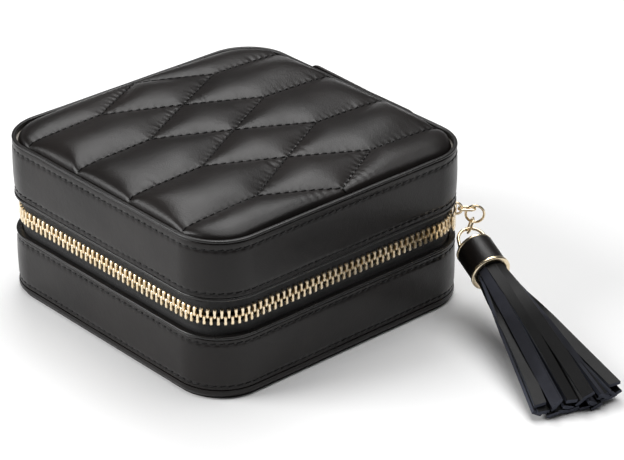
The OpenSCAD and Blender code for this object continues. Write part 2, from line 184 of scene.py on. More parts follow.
def addNode(tree, kind, **values):
    node = tree.nodes.new(kind)
    for key, value in values.items():
        if key in node.inputs:
            node.inputs[key].default_value = value
        else:
            setattr(node, key, value)
    return node


def drive(node, name, source):
    node.id_data.links.new(source, node.inputs[name])


def objectPlace(tree):
    return addNode(tree, "ShaderNodeTexCoord").outputs["Object"]


def noiseOn(tree, place, scale, detail=4.0, rough=0.5):
    node = addNode(tree, "ShaderNodeTexNoise", Scale=scale, Detail=detail, Roughness=rough)
    drive(node, "Vector", place)
    return node.outputs["Fac"]


def rampOf(tree, factor, low, high, lowColor, highColor):
    node = addNode(tree, "ShaderNodeValToRGB")
    for stop, position, color in zip(node.color_ramp.elements, (low, high), (lowColor, highColor)):
        stop.position = position
        stop.color = (*color, 1)
    drive(node, "Fac", factor)
    return node.outputs["Color"]


def spreadOf(tree, factor, low, high):
    node = addNode(tree, "ShaderNodeMapRange")
    setInputs(node, {"To Min": low, "To Max": high})
    drive(node, "Value", factor)
    return node.outputs["Result"]


def bumpOf(tree, height, distance, strength=1.0, under=None):
    node = addNode(tree, "ShaderNodeBump", Strength=strength, Distance=distance)
    drive(node, "Height", height)
    if under is not None:
        drive(node, "Normal", under)
    return node.outputs["Normal"]


def makeLeather(name, finish):
    # tone = two colours mixed by a slow noise; roughness = middle value + a finer noise;
    # height = creases + rounded cells + pores, each a noise of its own scale
    material, tree, shader = startMaterial(name, {"Specular IOR Level": finish["gloss"]})
    place = objectPlace(tree)
    drift = noiseOn(tree, place, 45, 3)
    drive(shader, "Base Color", rampOf(tree, drift, 0.35, 0.7, finish["dark"], finish["light"]))
    gloss = noiseOn(tree, place, 160, 5)
    drive(shader, "Roughness", spreadOf(tree, gloss, finish["rough"] - 0.07, finish["rough"] + 0.09))
    cells = addNode(tree, "ShaderNodeTexVoronoi", Scale=finish["grain"], feature="SMOOTH_F1")
    drive(cells, "Vector", place)
    pores = noiseOn(tree, place, finish["grain"] * 1.7, 3)
    creases = noiseOn(tree, place, 420, 6, 0.6)
    first = bumpOf(tree, creases, finish["depth"] * 2.0, 0.6)
    second = bumpOf(tree, cells.outputs["Distance"], finish["depth"], 0.7, first)
    drive(shader, "Normal", bumpOf(tree, pores, finish["depth"] * 0.6, 0.5, second))
    return material


def makeThread(finish):
    # tone = two colours mixed by a fine noise; height = slanting bands for the twist
    material, tree, shader = startMaterial("thread", {
        "Roughness": finish["rough"], "Specular IOR Level": finish["gloss"]})
    place = objectPlace(tree)
    fuzz = noiseOn(tree, place, finish["fuzz"], 3)
    drive(shader, "Base Color", rampOf(tree, fuzz, 0.3, 0.7, finish["dark"], finish["light"]))
    twist = addNode(tree, "ShaderNodeTexWave", Scale=finish["twist"], Distortion=finish["bend"],
                    bands_direction="DIAGONAL")
    drive(twist, "Vector", place)
    drive(shader, "Normal", bumpOf(tree, twist.outputs["Fac"], finish["depth"], 0.8))
    return material


def makeTape(finish):
    # herringbone on the tape's own measure: height = sine of (u + v folded to and fro) + a fine noise,
    # where u runs along the zip and v across it
    material, tree, shader = startMaterial("wovenTape", {
        "Roughness": finish["rough"], "Sheen Weight": finish["sheen"]})
    parts = addNode(tree, "ShaderNodeSeparateXYZ")
    drive(parts, "Vector", addNode(tree, "ShaderNodeTexCoord").outputs["UV"])
    fold = addNode(tree, "ShaderNodeMath", operation="PINGPONG")
    fold.inputs[1].default_value = finish["fold"]
    drive(fold, 0, parts.outputs["Y"])
    total = addNode(tree, "ShaderNodeMath", operation="ADD")
    drive(total, 0, parts.outputs["X"])
    drive(total, 1, fold.outputs[0])
    join = addNode(tree, "ShaderNodeCombineXYZ")
    drive(join, "X", total.outputs[0])
    twill = addNode(tree, "ShaderNodeTexWave", Scale=finish["twill"], wave_profile="SIN")
    drive(twill, "Vector", join.outputs[0])
    fuzz = noiseOn(tree, objectPlace(tree), finish["fuzz"], 3)
    drive(shader, "Base Color", rampOf(tree, fuzz, 0.3, 0.75, finish["dark"], finish["light"]))
    first = bumpOf(tree, twill.outputs["Fac"], finish["twillDepth"], 0.8)
    drive(shader, "Normal", bumpOf(tree, fuzz, finish["fuzzDepth"], 0.5, first))
    return material


def makeSuede(name, dark, light):
    # tone = two colours mixed by a cloudy noise; height = a fine noise
    finish = finishes["suede"]
    material, tree, shader = startMaterial(name, {
        "Roughness": finish["rough"], "Sheen Weight": finish["sheen"], "Sheen Roughness": finish["sheenRough"]})
    place = objectPlace(tree)
    nap = noiseOn(tree, place, finish["nap"], 6, 0.65)
    drive(shader, "Base Color", rampOf(tree, nap, 0.3, 0.72, dark, light))
    drive(shader, "Normal", bumpOf(tree, noiseOn(tree, place, finish["fibres"], 4), finish["depth"], 0.7))
    return material


def makeGold(name, rough):
    # tone = two golds mixed by a slow noise; roughness = middle value + a finer noise;
    # height = a noise drawn out along z for faint rubbing marks
    finish = finishes["gold"]
    material, tree, shader = startMaterial(name, {"Metallic": 1.0})
    place = objectPlace(tree)
    drift = noiseOn(tree, place, finish["drift"], 3)
    drive(shader, "Base Color", rampOf(tree, drift, 0.3, 0.75, finish["dark"], finish["light"]))
    gloss = noiseOn(tree, place, finish["gloss"], 5)
    drive(shader, "Roughness", spreadOf(tree, gloss, rough - 0.05, rough + 0.09))
    rubs = addNode(tree, "ShaderNodeTexNoise", Scale=finish["rubs"], Detail=2.0)
    stretch = addNode(tree, "ShaderNodeMapping", Scale=finish["stretch"])
    drive(stretch, "Vector", place)
    drive(rubs, "Vector", stretch.outputs[0])
    drive(shader, "Normal", bumpOf(tree, rubs.outputs["Fac"], finish["depth"], 0.5))
    return material


def makeBoard(finish):
    # tone and height = one noise, for pressed pulp
    material, tree, shader = startMaterial("greyBoard", {"Roughness": finish["rough"]})
    pulp = noiseOn(tree, objectPlace(tree), finish["pulp"], 6, 0.7)
    drive(shader, "Base Color", rampOf(tree, pulp, 0.3, 0.7, finish["dark"], finish["light"]))
    drive(shader, "Normal", bumpOf(tree, pulp, finish["depth"], 0.6))
    return material


def makeMirror(finish):
    # roughness = nearly none, a little more where a noise puts dust
    material, tree, shader = startMaterial("silveredGlass", {"Base Color": finish["tone"], "Metallic": 1.0})
    dust = noiseOn(tree, objectPlace(tree), finish["dust"], 6, 0.7)
    drive(shader, "Roughness", spreadOf(tree, dust, finish["clean"], finish["dusty"]))
    return material


leather = makeLeather("blackLeather", finishes["leather"])
stripLeather = makeLeather("tasselLeather", finishes["stripLeather"])
cutEdge = makeLeather("cutLeatherEdge", finishes["cutEdge"])
fleshSide = makeLeather("fleshSide", finishes["fleshSide"])
edgePaint = makeLeather("paintedEdge", finishes["edgePaint"])
thread = makeThread(finishes["thread"])
wovenTape = makeTape(finishes["tape"])
suede = makeSuede("liningSuede", (0.035, 0.033, 0.035), (0.075, 0.07, 0.074))
rollSuede = makeSuede("rollSuede", (0.042, 0.04, 0.042), (0.088, 0.083, 0.087))
gold = makeGold("paleGold", 0.2)
toothGold = makeGold("toothGold", 0.28)
board = makeBoard(finishes["board"])
mirrorGlass = makeMirror(finishes["mirror"])
print("materials ready")


# mesh helpers, all in millimetres until a mesh is made

def setRiding(piece, body, replaces=()):
    if body:
        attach(piece, body)
    if replaces:
        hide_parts(*replaces)
    return piece


def meshPiece(name, points, faces, material, uv=None, sharpAngle=40):
    # points (n, 3); faces a list of index arrays, each (count, corners)
    triangles = []
    for block in faces:
        for turn in range(1, block.shape[1] - 1):
            triangles.append(block[:, [0, turn, turn + 1]])
    tri = points[np.concatenate(triangles)]
    volume = np.einsum("ij,ij->i", tri[:, 0], np.cross(tri[:, 1], tri[:, 2])).sum()
    if volume < 0:
        faces = [block[:, ::-1] for block in faces]
    mesh = bpy.data.meshes.new(name)
    mesh.from_pydata((points * mm).tolist(), [], [row for block in faces for row in block.tolist()])
    if uv is not None:
        layer = mesh.uv_layers.new(name="measure")
        corner = np.zeros(len(mesh.loops), np.int32)
        mesh.loops.foreach_get("vertex_index", corner)
        layer.data.foreach_set("uv", uv[corner].astype(np.float32).ravel())
    mesh.shade_smooth()
    if sharpAngle:
        mesh.set_sharp_from_angle(angle=math.radians(sharpAngle))
    mesh.materials.append(material)
    return addToScene(name, mesh)


def fullTurn(count):
    return np.linspace(0, 2 * math.pi, count, endpoint=False)


def gridFaces(across, down, wrapAcross, wrapDown):
    # quads between neighbours on an (across, down) grid
    a = np.arange(across if wrapAcross else across - 1)
    d = np.arange(down if wrapDown else down - 1)
    a, d = np.meshgrid(a, d, indexing="ij")
    a2, d2 = (a + 1) % across, (d + 1) % down
    return np.stack([a * down + d, a2 * down + d, a2 * down + d2, a * down + d2], -1).reshape(-1, 4)


def closedFaces(rings, around):
    # a tube of rings with a face over each end
    order = np.arange(rings * around).reshape(rings, around)
    return [gridFaces(rings, around, False, True), order[0][None, ::-1], order[-1][None]]


def gridPiece(name, grid, material, wrapAcross=False, wrapDown=False, capAcross=False,
              capDown=False, uv=None, sharpAngle=40):
    across, down = grid.shape[:2]
    faces = [gridFaces(across, down, wrapAcross, wrapDown)]
    order = np.arange(across * down).reshape(across, down)
    if capAcross:
        faces += [order[0][None, ::-1], order[-1][None, :]]
    if capDown:
        faces += [order[:, 0][None, :], order[:, -1][None, ::-1]]
    flat = None if uv is None else uv.reshape(-1, 2)
    return meshPiece(name, grid.reshape(-1, 3), faces, material, flat, sharpAngle)


def closedSheet(name, front, rear, material, sharpAngle=40):
    # two grids of one size, back to back, with a strip of quads round their rim
    across, down = front.shape[:2]
    count = across * down
    order = np.arange(count).reshape(across, down)
    quads = gridFaces(across, down, False, False)
    rim = np.concatenate([order[:, 0], order[-1, 1:], order[-2::-1, -1], order[0, -2:0:-1]])
    after = np.roll(rim, -1)
    strip = np.stack([rim, rim + count, after + count, after], -1)
    points = np.concatenate([front.reshape(-1, 3), rear.reshape(-1, 3)])
    return meshPiece(name, points, [quads, quads[:, ::-1] + count, strip], material, None, sharpAngle)


def repeatShape(shape, faces, middles, axes):
    # one small shape set at many places: point = middle + x*axis0 + y*axis1 + z*axis2
    count, size = len(middles), len(shape)
    points = middles[:, None, :] + np.einsum("pk,nkc->npc", shape, axes)
    shift = (np.arange(count) * size)[:, None, None]
    return points.reshape(-1, 3), [(block[None] + shift).reshape(-1, block.shape[1]) for block in faces]


def outlineAt(s):
    # place, outward direction and heading at distance s round the case's outline,
    # from the middle of the hinge side, left, round the front and back: runs and quarter turns
    r = caseShape["cornerRadius"]
    w, d = caseShape["halfWidth"], caseShape["halfDepth"]
    cx, cy, q = w - r, d - r, math.pi * r / 2
    lengths = np.array([cx, q, 2 * cy, q, 2 * cx, q, 2 * cy, q, cx])
    starts = np.concatenate([[0], np.cumsum(lengths)])
    corner = np.array([(0, d), (-cx, d), (-w, cy), (-w, -cy), (-cx, -d), (cx, -d), (w, -cy), (w, cy),
                       (cx, d)])
    heading = np.radians([180, 180, 270, 270, 0, 0, 90, 90, 180])
    s = np.mod(np.asarray(s, float), starts[-1])
    part = np.clip(np.searchsorted(starts, s, side="right") - 1, 0, 8)
    along = s - starts[part]
    h0 = heading[part]
    turned = part % 2 == 1
    h = np.where(turned, h0 + along / r, h0)
    stepX = np.where(turned, r * (np.sin(h) - np.sin(h0)), along * np.cos(h0))
    stepY = np.where(turned, r * (np.cos(h0) - np.cos(h)), along * np.sin(h0))
    place = corner[part] + np.stack([stepX, stepY], -1)
    return place, np.stack([np.sin(h), -np.cos(h)], -1), h


outlineLength = (2 * (2 * caseShape["halfWidth"] + 2 * caseShape["halfDepth"])
                 - (8 - 2 * math.pi) * caseShape["cornerRadius"])


def axesAt(s):
    # place on the outline, and the outward and forward directions there with no rise
    place, outward, h = outlineAt(s)
    level = np.zeros(len(s))
    return place, np.column_stack([outward, level]), np.column_stack([np.cos(h), np.sin(h), level])


def evenSteps(step):
    # distances round the outline, closed, with whole steps near the asked one
    return np.linspace(0, outlineLength, int(round(outlineLength / step)), endpoint=False)


def wallGrid(s, inset, height):
    # inset and height are (along, across) arrays or broadcast to it: outline - inset * outward
    place, outward, _ = outlineAt(s)
    shape = np.broadcast_shapes(np.shape(inset), np.shape(height), (len(s), 1))
    inset, height = np.broadcast_to(inset, shape), np.broadcast_to(height, shape)
    flat = place[:, None, :] - inset[..., None] * outward[:, None, :]
    return np.concatenate([flat, height[..., None]], -1)


def beadProfile(insetA, insetB, low, high, radius, steps=6):
    # a rectangle with four rounded corners, as a closed loop of (inset, height)
    turn = np.linspace(0, math.pi / 2, steps)
    rings = []
    for k, (cx, cz) in enumerate([(insetB - radius, high - radius), (insetA + radius, high - radius),
                                  (insetA + radius, low + radius), (insetB - radius, low + radius)]):
        angle = turn + k * math.pi / 2
        rings.append(np.stack([cx + radius * np.cos(angle), cz + radius * np.sin(angle)], -1))
    return np.concatenate(rings)


def beadPiece(name, profile, material, body, replaces, wobble, step=0.9):
    # inset = profile + wobble * (sine of 7 waves round the outline + sine of 17 waves)
    s = evenSteps(step)
    turn = 2 * math.pi / outlineLength * s
    wave = wobble * (np.sin(7 * turn + 1) + np.sin(17 * turn))
    grid = wallGrid(s, profile[None, :, 0] + wave[:, None], profile[None, :, 1])
    return setRiding(gridPiece(name, grid, material, True, True), body, replaces)


def tubeGrid(path, radius, planeNormal, around=14, closed=False):
    # a round wire along a flat path: path + r*cos*side + r*sin*planeNormal
    ahead = (np.roll(path, -1, 0) - np.roll(path, 1, 0)) if closed else np.gradient(path, axis=0)
    ahead /= np.linalg.norm(ahead, axis=1, keepdims=True)
    normal = np.array(planeNormal, float)
    normal /= np.linalg.norm(normal)
    side = np.cross(ahead, normal)
    turn = fullTurn(around)
    radius = np.broadcast_to(np.asarray(radius, float), (len(path),))
    ring = np.cos(turn)[None, :, None] * side[:, None, :] + np.sin(turn)[None, :, None] * normal
    return path[:, None, :] + radius[:, None, None] * ring


def latheGrid(profile, origin, axisDirection, around=72):
    # a profile of (radius, distance along the axis) turned round the axis
    axisDirection = np.array(axisDirection, float)
    side = np.cross(axisDirection, (0, 0, 1.0))
    side /= np.linalg.norm(side)
    other = np.cross(axisDirection, side)
    turn = fullTurn(around)
    ring = np.cos(turn)[:, None] * side + np.sin(turn)[:, None] * other
    return origin + profile[None, :, 0, None] * ring[:, None, :] + profile[None, :, 1, None] * axisDirection


def softBlock(low, high, power=0.22, across=48, down=24):
    # superellipsoid: each direction is sign(c)*|c|**power of a ball's own cosines and sines
    low, high = np.array(low, float), np.array(high, float)
    turn = fullTurn(across)
    lift = np.linspace(-math.pi / 2 + 0.02, math.pi / 2 - 0.02, down)
    bend = lambda v: np.sign(v) * np.abs(v) ** power
    x = bend(np.cos(turn))[:, None] * bend(np.cos(lift))[None, :]
    y = bend(np.sin(turn))[:, None] * bend(np.cos(lift))[None, :]
    z = np.broadcast_to(bend(np.sin(lift))[None, :], x.shape)
    return (low + high) / 2 + (high - low) / 2 * np.stack([x, y, z], -1)


# stitches: small capsules set along a line

stitchShape = {"length": 2.0, "radius": 0.3, "slant": 9.0, "pitch": 2.75, "sink": 0.06, "flatten": 0.8,
               "ringPlaces": (-0.5, -0.46, -0.3, 0.3, 0.46, 0.5), "ringSizes": (0.25, 0.72, 1.0, 1.0, 0.72, 0.25),
               "quiltLength": 1.75, "quiltLift": 0.2, "quiltProbe": 0.4}
stitchCount = int(outlineLength / stitchShape["pitch"])


def capsule(length, radius, around=7):
    # rings of a rounded rod along its own x
    place = np.array(stitchShape["ringPlaces"]) * length
    width = np.array(stitchShape["ringSizes"]) * radius
    turn = fullTurn(around)
    rings = len(place)
    x = np.broadcast_to(place[:, None], (rings, around))
    y = width[:, None] * np.cos(turn)
    z = width[:, None] * np.sin(turn) * stitchShape["flatten"]
    return np.stack([x, y, z], -1).reshape(-1, 3), closedFaces(rings, around)


def stitchPiece(name, middles, along, outward, body, blendBetween=None, length=stitchShape["length"]):
    # each stitch lies along the seam, turned a little about the outward direction
    slant = math.radians(stitchShape["slant"])
    side = np.cross(outward, along)
    axisX = math.cos(slant) * along + math.sin(slant) * side
    axisY = -math.sin(slant) * along + math.cos(slant) * side
    shape, faces = capsule(length, stitchShape["radius"])
    points, faces = repeatShape(shape, faces, middles - stitchShape["sink"] * outward,
                                np.stack([axisX, axisY, outward], 1))
    piece = meshPiece(name, points, faces, thread, None, 60)
    if blendBetween:
        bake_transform(piece)
    else:
        setRiding(piece, body)
    return piece


def stitchRow(name, height, inset, body):
    place, outward, along = axesAt((np.arange(stitchCount) + 0.5) * outlineLength / stitchCount)
    middles = np.column_stack([place - inset * outward[:, :2], np.full(stitchCount, height)])
    return stitchPiece(name, middles, along, outward, body)


# leather bands, with a sewn channel near each edge

bandShape = {"thickness": boardInset, "bulge": 0.25, "channelDepth": 0.3, "channelWidth": 0.75,
             "edgeRound": 0.45, "waviness": 0.05, "step": 0.45, "rowReach": 1.6, "edgeSteps": (0.1, 0.25, 0.5),
             "scallopFloor": 0.72, "threadDepth": 0.55}
baseBand = {"low": bandLow[2], "high": bandHigh[2], "rows": (4.4, 18.9)}
lidBand = {"low": lidLow[2], "high": lidHigh[2], "rows": (35.9, 50.4)}


def bulgeInset(band, z):
    # -bulge * (1 - t squared), where t runs from -1 to 1 up the band
    t = (z - (band["low"] + band["high"]) / 2) / ((band["high"] - band["low"]) / 2)
    return -bandShape["bulge"] * (1 - t ** 2)


def bandPiece(name, band, body, node):
    # outer inset = the bulge + a rounded edge + slow sine waves
    # + a channel at each row: depth * scallop at the stitch pitch * exp(-(distance / width) squared)
    s = evenSteps(bandShape["step"])
    low, high = band["low"], band["high"]
    near = [np.linspace(r - bandShape["rowReach"], r + bandShape["rowReach"], 15) for r in band["rows"]]
    edgeSteps = np.array(bandShape["edgeSteps"])
    z = np.concatenate([np.linspace(low, high, 16), *near, low + edgeSteps, high - edgeSteps])
    z = np.unique(np.round(z, 3))
    z = z[(z >= low) & (z <= high)]
    inset = bulgeInset(band, z)
    edge = np.minimum(z - low, high - z)
    roll = np.clip(bandShape["edgeRound"] - edge, 0, None)
    inset = inset + bandShape["edgeRound"] - np.sqrt(np.clip(bandShape["edgeRound"] ** 2 - roll ** 2, 0, None))
    floor = bandShape["scallopFloor"]
    scallop = floor + (1 - floor) * np.cos(2 * math.pi * s / (outlineLength / stitchCount))
    total = np.broadcast_to(inset, (len(s), len(z))).copy()
    for row in band["rows"]:
        channel = np.exp(-((z - row) / bandShape["channelWidth"]) ** 2)
        total += bandShape["channelDepth"] * scallop[:, None] * channel
    k = 2 * math.pi / outlineLength
    total += bandShape["waviness"] * (np.sin(5 * k * s + 1.3)[:, None] * np.cos(z / 5)[None, :]
                                      + np.sin(13 * k * s)[:, None] * np.cos(z / 3 + 1)[None, :])
    outer = wallGrid(s, total, z[None, :])
    innerZ = np.linspace(high, low, 5)
    inner = wallGrid(s, np.full((1, 5), bandShape["thickness"] - 0.02), innerZ[None, :])
    piece = gridPiece(name, np.concatenate([outer, inner], 1), leather, True, True)
    return setRiding(piece, body, (node,))


bandPiece("baseBand", baseBand, "base", "base_leather_band")
bandPiece("lidBand", lidBand, "lid", "lid_leather_band")
for body, band in [("base", baseBand), ("lid", lidBand)]:
    for level, height in zip(("Lower", "Upper"), band["rows"]):
        sunk = bandShape["channelDepth"] * bandShape["threadDepth"]
        stitchRow(body + level + "Stitches", height, sunk + bulgeInset(band, height), body)
print("bands and stitch rows ready")


# painted edges and the foot

edgeShape = {"overhang": 0.2, "depth": tapeInset, "round": 0.42, "lipOverhang": 0.1, "lipWidth": 1.3,
             "lipRound": 0.4, "tuck": 0.05, "wobble": 0.03}
weltShape = {"flare": 0.25, "lean": 1.1, "leanSpan": 1.6, "topFrom": 0.8, "topLean": 0.6125, "wobble": 0.02,
             "inner": ((1.18, 1.0), (1.18, 0.6)), "innerFoot": (1.18, 0.85)}
lipLow, lipHigh = boxMm("lid_lip_binding")
baseEdgeLow, baseEdgeHigh = boxMm("base_edge_binding")
lidEdgeLow, lidEdgeHigh = boxMm("lid_edge_binding")
weltLow, weltHigh = boxMm("base_foot_welt")

beadPiece("lidLip", beadProfile(-edgeShape["lipOverhang"], edgeShape["lipWidth"], lipLow[2] - edgeShape["tuck"],
                                lipHigh[2], edgeShape["lipRound"]), edgePaint,
          "lid", ("lid_lip_binding",), edgeShape["wobble"])
for name, node, body, low, high in [
        ("lidEdge", "lid_edge_binding", "lid", lidEdgeLow[2], lidEdgeHigh[2] + edgeShape["tuck"]),
        ("baseEdge", "base_edge_binding", "base", baseEdgeLow[2] - edgeShape["tuck"], baseEdgeHigh[2])]:
    beadPiece(name, beadProfile(-edgeShape["overhang"], edgeShape["depth"], low, high, edgeShape["round"]),
              edgePaint, body, (node,), edgeShape["wobble"])


def makeWelt():
    # inset = -flare + lean * (1 - sine of a quarter turn up the foot) + a straight slope near the top
    z = np.linspace(0, 1, 14)
    quarter = np.clip(z * weltShape["leanSpan"], 0, 1) * math.pi / 2
    inset = -weltShape["flare"] + weltShape["lean"] * (1 - np.sin(quarter))
    inset = inset + weltShape["topLean"] * np.clip(z - weltShape["topFrom"], 0, 1)
    outer = np.column_stack([inset, weltLow[2] + (weltHigh[2] - weltLow[2]) * z])
    inner = [(across, weltHigh[2] * share) for across, share in weltShape["inner"]]
    inner.append((weltShape["innerFoot"][0], weltLow[2] + weltShape["innerFoot"][1]))
    beadPiece("footWelt", np.concatenate([outer, inner]), leather, "base", ("base_foot_welt",),
              weltShape["wobble"])


makeWelt()
print("edges ready")


# quilted pad

padShape = {"spacing": 25.1, "reach": 23.3, "half": 52.2, "cornerRadius": 14.2, "seamHeight": 53.7,
            "crown": 2.3, "domeFall": 0.5, "puff": 2.1, "tightness": 3.0, "roundness": 1.3, "pucker": 0.08,
            "puckerWidth": 0.9, "groove": 0.1, "grooveWidth": 0.5, "tuck": 0.9, "tuckWidth": 2.5, "drop": 1.5,
            "dropWidth": 0.5, "sewnWidth": 0.6, "stitchPitch": 2.6, "count": 400, "crowding": 0.25}
puffShape = {"count": 150, "scale": 10, "frames": 20, "sewn": 0.5, "quality": 5, "mass": 0.3, "stretch": 12,
             "shear": 10, "bend": 6, "pressure": 14.0, "fullness": 0.0015, "highShare": 95, "ceiling": 1.25}


def quiltSeams():
    # four straight seams from each of two sides, joined by a lattice of diagonals
    s, t, half = padShape["spacing"], padShape["reach"], padShape["half"]
    ends = np.array([-1.5, -0.5, 0.5, 1.5]) * s
    seams = []
    for x in ends:
        seams += [((x, -half), (x, -t)), ((x, t), (x, half))]
        for way in (-1, 1):
            seams += [((x, -t), (x + way * s / 2, 0)), ((x, t), (x + way * s / 2, 0))]
    for way in (-1, 1):
        seams.append(((way * 2 * s, 0), (way * half, 0)))
    return np.array(seams)


def rowReach(y, half, radius):
    # half the width of a rounded square at height y
    over = np.clip(np.abs(y) - (half - radius), 0, radius)
    return half - radius + np.sqrt(np.clip(radius ** 2 - over ** 2, 0, None))


def segmentDistance(x, y, seams):
    a, b = seams[:, 0], seams[:, 1]
    ab = b - a
    px, py = x[..., None] - a[:, 0], y[..., None] - a[:, 1]
    t = np.clip((px * ab[:, 0] + py * ab[:, 1]) / (ab ** 2).sum(1), 0, 1)
    gap = np.hypot(px - t * ab[:, 0], py - t * ab[:, 1])
    return gap, t * np.hypot(ab[:, 0], ab[:, 1])


def padHeight(x, y, puffed=None):
    # a low dome + the simulated puff where it is given, else puff * (1 - exp(-(d / tightness)^roundness)),
    # where d is a soft nearest distance to a seam; + puckers: cosine along the seam * exp(-distance),
    # - a sewn groove: exp(-distance squared), + slow sine waves, - a tuck and a drop at the rim
    half, radius = padShape["half"], padShape["cornerRadius"]
    gap, along = segmentDistance(x, y, quiltSeams())
    qx, qy = np.abs(x) - (half - radius), np.abs(y) - (half - radius)
    outside = np.hypot(np.clip(qx, 0, None), np.clip(qy, 0, None)) + np.minimum(np.maximum(qx, qy), 0) - radius
    rim = np.clip(-outside, 0, None) + 0.001
    near = (np.sum((gap + 0.02) ** -4.0, -1) + (rim * 0.9 + 0.02) ** -4.0) ** -0.25
    dome = padShape["crown"] * (1 - padShape["domeFall"] * ((x / half) ** 2 + (y / half) ** 2))
    if puffed is None:
        swell = padShape["puff"] * (1 - np.exp(-(near / padShape["tightness"]) ** padShape["roundness"]))
    else:
        swell = puffed * np.clip(near / padShape["sewnWidth"], 0, 1)
    nearest = np.argmin(gap, -1)
    step = np.take_along_axis(along, nearest[..., None], -1)[..., 0]
    gapMin = np.take_along_axis(gap, nearest[..., None], -1)[..., 0]
    pucker = padShape["pucker"] * np.cos(2 * math.pi * step / padShape["stitchPitch"])
    pucker = pucker * np.exp(-gapMin / padShape["puckerWidth"])
    pucker = pucker - padShape["groove"] * np.exp(-(gapMin / padShape["grooveWidth"]) ** 2)
    slow = 0.12 * np.sin(x / 9 + 0.7) * np.cos(y / 11) + 0.08 * np.sin(x / 4.3 + y / 5.1)
    tuck = padShape["tuck"] * np.exp(-rim / padShape["tuckWidth"])
    drop = padShape["drop"] * np.exp(-rim / padShape["dropWidth"])
    return padShape["seamHeight"] + dome - tuck + swell + pucker + slow * (1 - np.exp(-gapMin / 3)) - drop


def padGrid(n):
    # a grid over the rounded square, a little closer at the rim: each row is as wide as the square is there
    even = np.linspace(-1, 1, n)
    span = math.pi / 2 * 0.94
    share = (1 - padShape["crowding"]) * even + padShape["crowding"] * np.sin(even * span) / math.sin(span)
    y = padShape["half"] * share
    x = share[:, None] * rowReach(y, padShape["half"], padShape["cornerRadius"])[None, :]
    return x, np.broadcast_to(y[None, :], x.shape)


def splineWeights(fine, coarse):
    # cubic B-spline weights that carry a coarse grid of heights to a fine one
    gap = np.abs(np.linspace(0, coarse - 1, fine)[:, None] - np.arange(coarse)[None, :])
    weights = np.where(gap < 1, 2 / 3 - gap ** 2 + gap ** 3 / 2, np.where(gap < 2, (2 - gap) ** 3 / 6, 0))
    return weights / weights.sum(1, keepdims=True)


def simulatePuff():
    # leather sewn down along every seam and blown up a little from below, at ten times its size
    m = puffShape["count"]
    x, y = padGrid(m)
    gap = segmentDistance(x, y, quiltSeams())[0]
    edge = np.zeros((m, m), bool)
    edge[[0, -1], :] = edge[:, [0, -1]] = True
    sewn = (gap.min(-1) < puffShape["sewn"]) | edge
    grow = puffShape["scale"] * mm
    flat = np.stack([x, y, np.zeros_like(x)], -1).reshape(-1, 3) * grow
    mesh = bpy.data.meshes.new("puff")
    mesh.from_pydata(flat.tolist(), [], gridFaces(m, m, False, False).tolist())
    sheet = addToScene("puff", mesh)
    if mesh.polygons[0].normal.z < 0:
        mesh.flip_normals()
    group = sheet.vertex_groups.new(name="sewn")
    group.add(np.flatnonzero(sewn.ravel()).tolist(), 1.0, "REPLACE")
    cloth = sheet.modifiers.new("cloth", "CLOTH")
    settings = cloth.settings
    settings.quality = puffShape["quality"]
    settings.mass = puffShape["mass"]
    settings.tension_stiffness = settings.compression_stiffness = puffShape["stretch"]
    settings.shear_stiffness = puffShape["shear"]
    settings.bending_stiffness = puffShape["bend"]
    settings.vertex_group_mass = "sewn"
    settings.use_pressure = True
    settings.uniform_pressure_force = puffShape["pressure"]
    settings.shrink_min = -puffShape["fullness"]
    settings.effector_weights.gravity = 0
    cloth.collision_settings.use_collision = False
    scene = bpy.context.scene
    for step in range(1, puffShape["frames"] + 1):
        scene.frame_set(step)
    shape = sheet.evaluated_get(bpy.context.evaluated_depsgraph_get()).to_mesh()
    place = np.zeros(len(shape.vertices) * 3, np.float32)
    shape.vertices.foreach_get("co", place)
    lift = (place.reshape(-1, 3)[:, 2] / grow).reshape(m, m)
    scene.frame_set(1)
    bpy.data.objects.remove(sheet)
    bpy.data.meshes.remove(mesh)
    print("pad simulated, median and greatest lift in mm", np.median(lift).round(2), lift.max().round(2))
    # the sheet rises less than real padding, so its lift is scaled up to the puff
    lift = lift * padShape["puff"] / np.percentile(lift, puffShape["highShare"])
    lift = np.clip(lift, 0, padShape["puff"] * puffShape["ceiling"])
    weights = splineWeights(padShape["count"], m)
    return weights @ lift @ weights.T


def makePad():
    n = padShape["count"]
    x, y = padGrid(n)
    top = np.stack([x, y, padHeight(x, y, simulatePuff())], -1)
    order = np.arange(n * n).reshape(n, n)
    rim = np.concatenate([order[:, 0], order[-1, 1:], order[-2::-1, -1], order[0, -2:0:-1]])
    flat = top.reshape(-1, 3)
    padLow = boxMm("lid_quilted_pad")[0][2] + 0.02
    skirt = flat[rim].copy()
    skirt[:, 2] = padLow
    count = n * n
    ring = np.arange(len(rim))
    after = np.roll(ring, -1)
    side = np.stack([rim, count + ring, count + after, rim[after]], -1)
    points = np.concatenate([flat, skirt])
    faces = [gridFaces(n, n, False, False), side, (count + ring)[None, ::-1]]
    piece = meshPiece("quiltedPad", points, faces, leather, None, 70)
    return setRiding(piece, "lid", ("lid_quilted_pad",))


